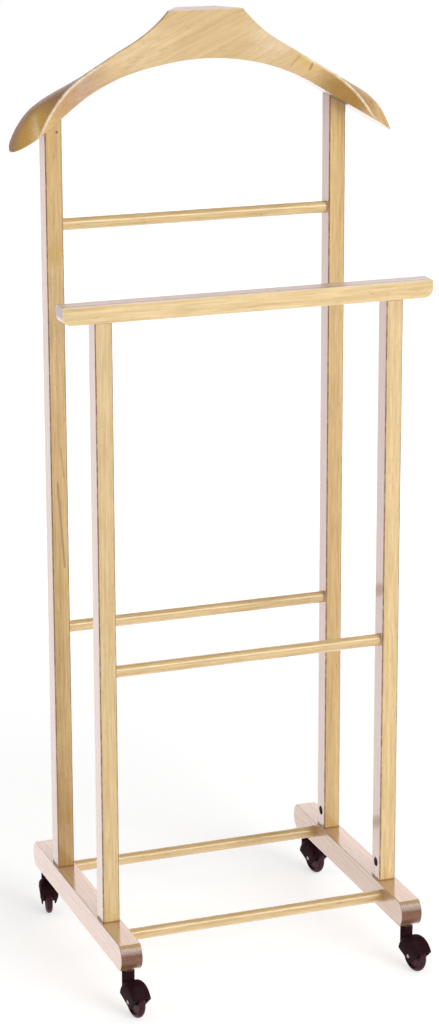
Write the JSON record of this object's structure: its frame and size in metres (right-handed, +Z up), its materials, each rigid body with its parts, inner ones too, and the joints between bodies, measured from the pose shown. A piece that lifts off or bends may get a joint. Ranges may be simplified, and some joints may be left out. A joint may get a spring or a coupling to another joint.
{
  "type": "double valet stand",
  "caption": "Rolling wooden double valet stand: tall frame with a jacket hanger, low frame with a trouser bar, joined by foot rails on hooded swivel casters.",
  "frame": {"origin": "on the floor, under the middle of the plan box with the casters at rest", "axes": "+Z up, the low frame with the trouser bar towards -Y, +X to the right as seen from the front"},
  "size_m": [0.451, 0.3636, 1.0895],
  "materials": {
    "beech": "clear satin lacquer over blond beech",
    "pin_wood": "bare turned beech",
    "caster_plastic": "moulded, very dark brown, half gloss",
    "tread": "moulded, dark brown, rolled smooth",
    "steel": "bright zinc plated",
    "dark_steel": "dull dark plated"
  },
  "bodies": {
    "frame": {"foot_rail_left": "beech", "foot_rail_right": "beech", "upright_rear_left": "beech", "upright_rear_right": "beech", "upright_front_left": "beech", "upright_front_right": "beech", "hanger": "beech", "front_bar": "beech", "rod_rear_upper": "beech", "rod_rear_lower": "beech", "rod_front_lower": "beech", "rod_base_rear": "beech", "rod_base_front": "beech", "hanger_pin_left": "pin_wood", "hanger_pin_right": "pin_wood", "bar_pin_left": "pin_wood", "bar_pin_right": "pin_wood", "foot_bolt_front_left": "dark_steel", "foot_bolt_front_right": "dark_steel", "foot_bolt_rear_left": "dark_steel", "foot_bolt_rear_right": "dark_steel", "barrel_nut_front_left": "dark_steel", "barrel_nut_front_right": "dark_steel", "barrel_nut_rear_left": "dark_steel", "barrel_nut_rear_right": "dark_steel", "caster_socket_front_left": "dark_steel", "caster_socket_front_right": "dark_steel", "caster_socket_rear_left": "dark_steel", "caster_socket_rear_right": "dark_steel"},
    "fork_front_left": {"caster_fork_front_left": "caster_plastic", "caster_stem_front_left": "steel", "caster_axle_front_left": "steel"},
    "fork_front_right": {"caster_fork_front_right": "caster_plastic", "caster_stem_front_right": "steel", "caster_axle_front_right": "steel"},
    "fork_rear_left": {"caster_fork_rear_left": "caster_plastic", "caster_stem_rear_left": "steel", "caster_axle_rear_left": "steel"},
    "fork_rear_right": {"caster_fork_rear_right": "caster_plastic", "caster_stem_rear_right": "steel", "caster_axle_rear_right": "steel"},
    "wheel_front_left": {"caster_wheel_front_left": "tread"},
    "wheel_front_right": {"caster_wheel_front_right": "tread"},
    "wheel_rear_left": {"caster_wheel_rear_left": "tread"},
    "wheel_rear_right": {"caster_wheel_rear_right": "tread"}
  },
  "joints": [
    {"name": "swivel_front_left", "type": "hinge", "parent": "frame", "child": "fork_front_left", "pos_m": [-0.17, -0.1435, 0.05], "axis": [0, 0, 1], "continuous": true},
    {"name": "swivel_front_right", "type": "hinge", "parent": "frame", "child": "fork_front_right", "pos_m": [0.17, -0.1435, 0.05], "axis": [0, 0, 1], "continuous": true},
    {"name": "swivel_rear_left", "type": "hinge", "parent": "frame", "child": "fork_rear_left", "pos_m": [-0.17, 0.1665, 0.05], "axis": [0, 0, 1], "continuous": true},
    {"name": "swivel_rear_right", "type": "hinge", "parent": "frame", "child": "fork_rear_right", "pos_m": [0.17, 0.1665, 0.05], "axis": [0, 0, 1], "continuous": true},
    {"name": "roll_front_left", "type": "hinge", "parent": "fork_front_left", "child": "wheel_front_left", "pos_m": [-0.1675, -0.16132, 0.02], "axis": [0.9903, 0.1392, 0], "continuous": true},
    {"name": "roll_front_right", "type": "hinge", "parent": "fork_front_right", "child": "wheel_front_right", "pos_m": [0.17344, -0.16117, 0.02], "axis": [0.9816, 0.1908, 0], "continuous": true},
    {"name": "roll_rear_left", "type": "hinge", "parent": "fork_rear_left", "child": "wheel_rear_left", "pos_m": [-0.17405, 0.14896, 0.02], "axis": [0.9744, -0.225, 0], "continuous": true},
    {"name": "roll_rear_right", "type": "hinge", "parent": "fork_rear_right", "child": "wheel_rear_right", "pos_m": [0.17282, 0.14872, 0.02], "axis": [0.9877, 0.1564, 0], "continuous": true}
  ]
}
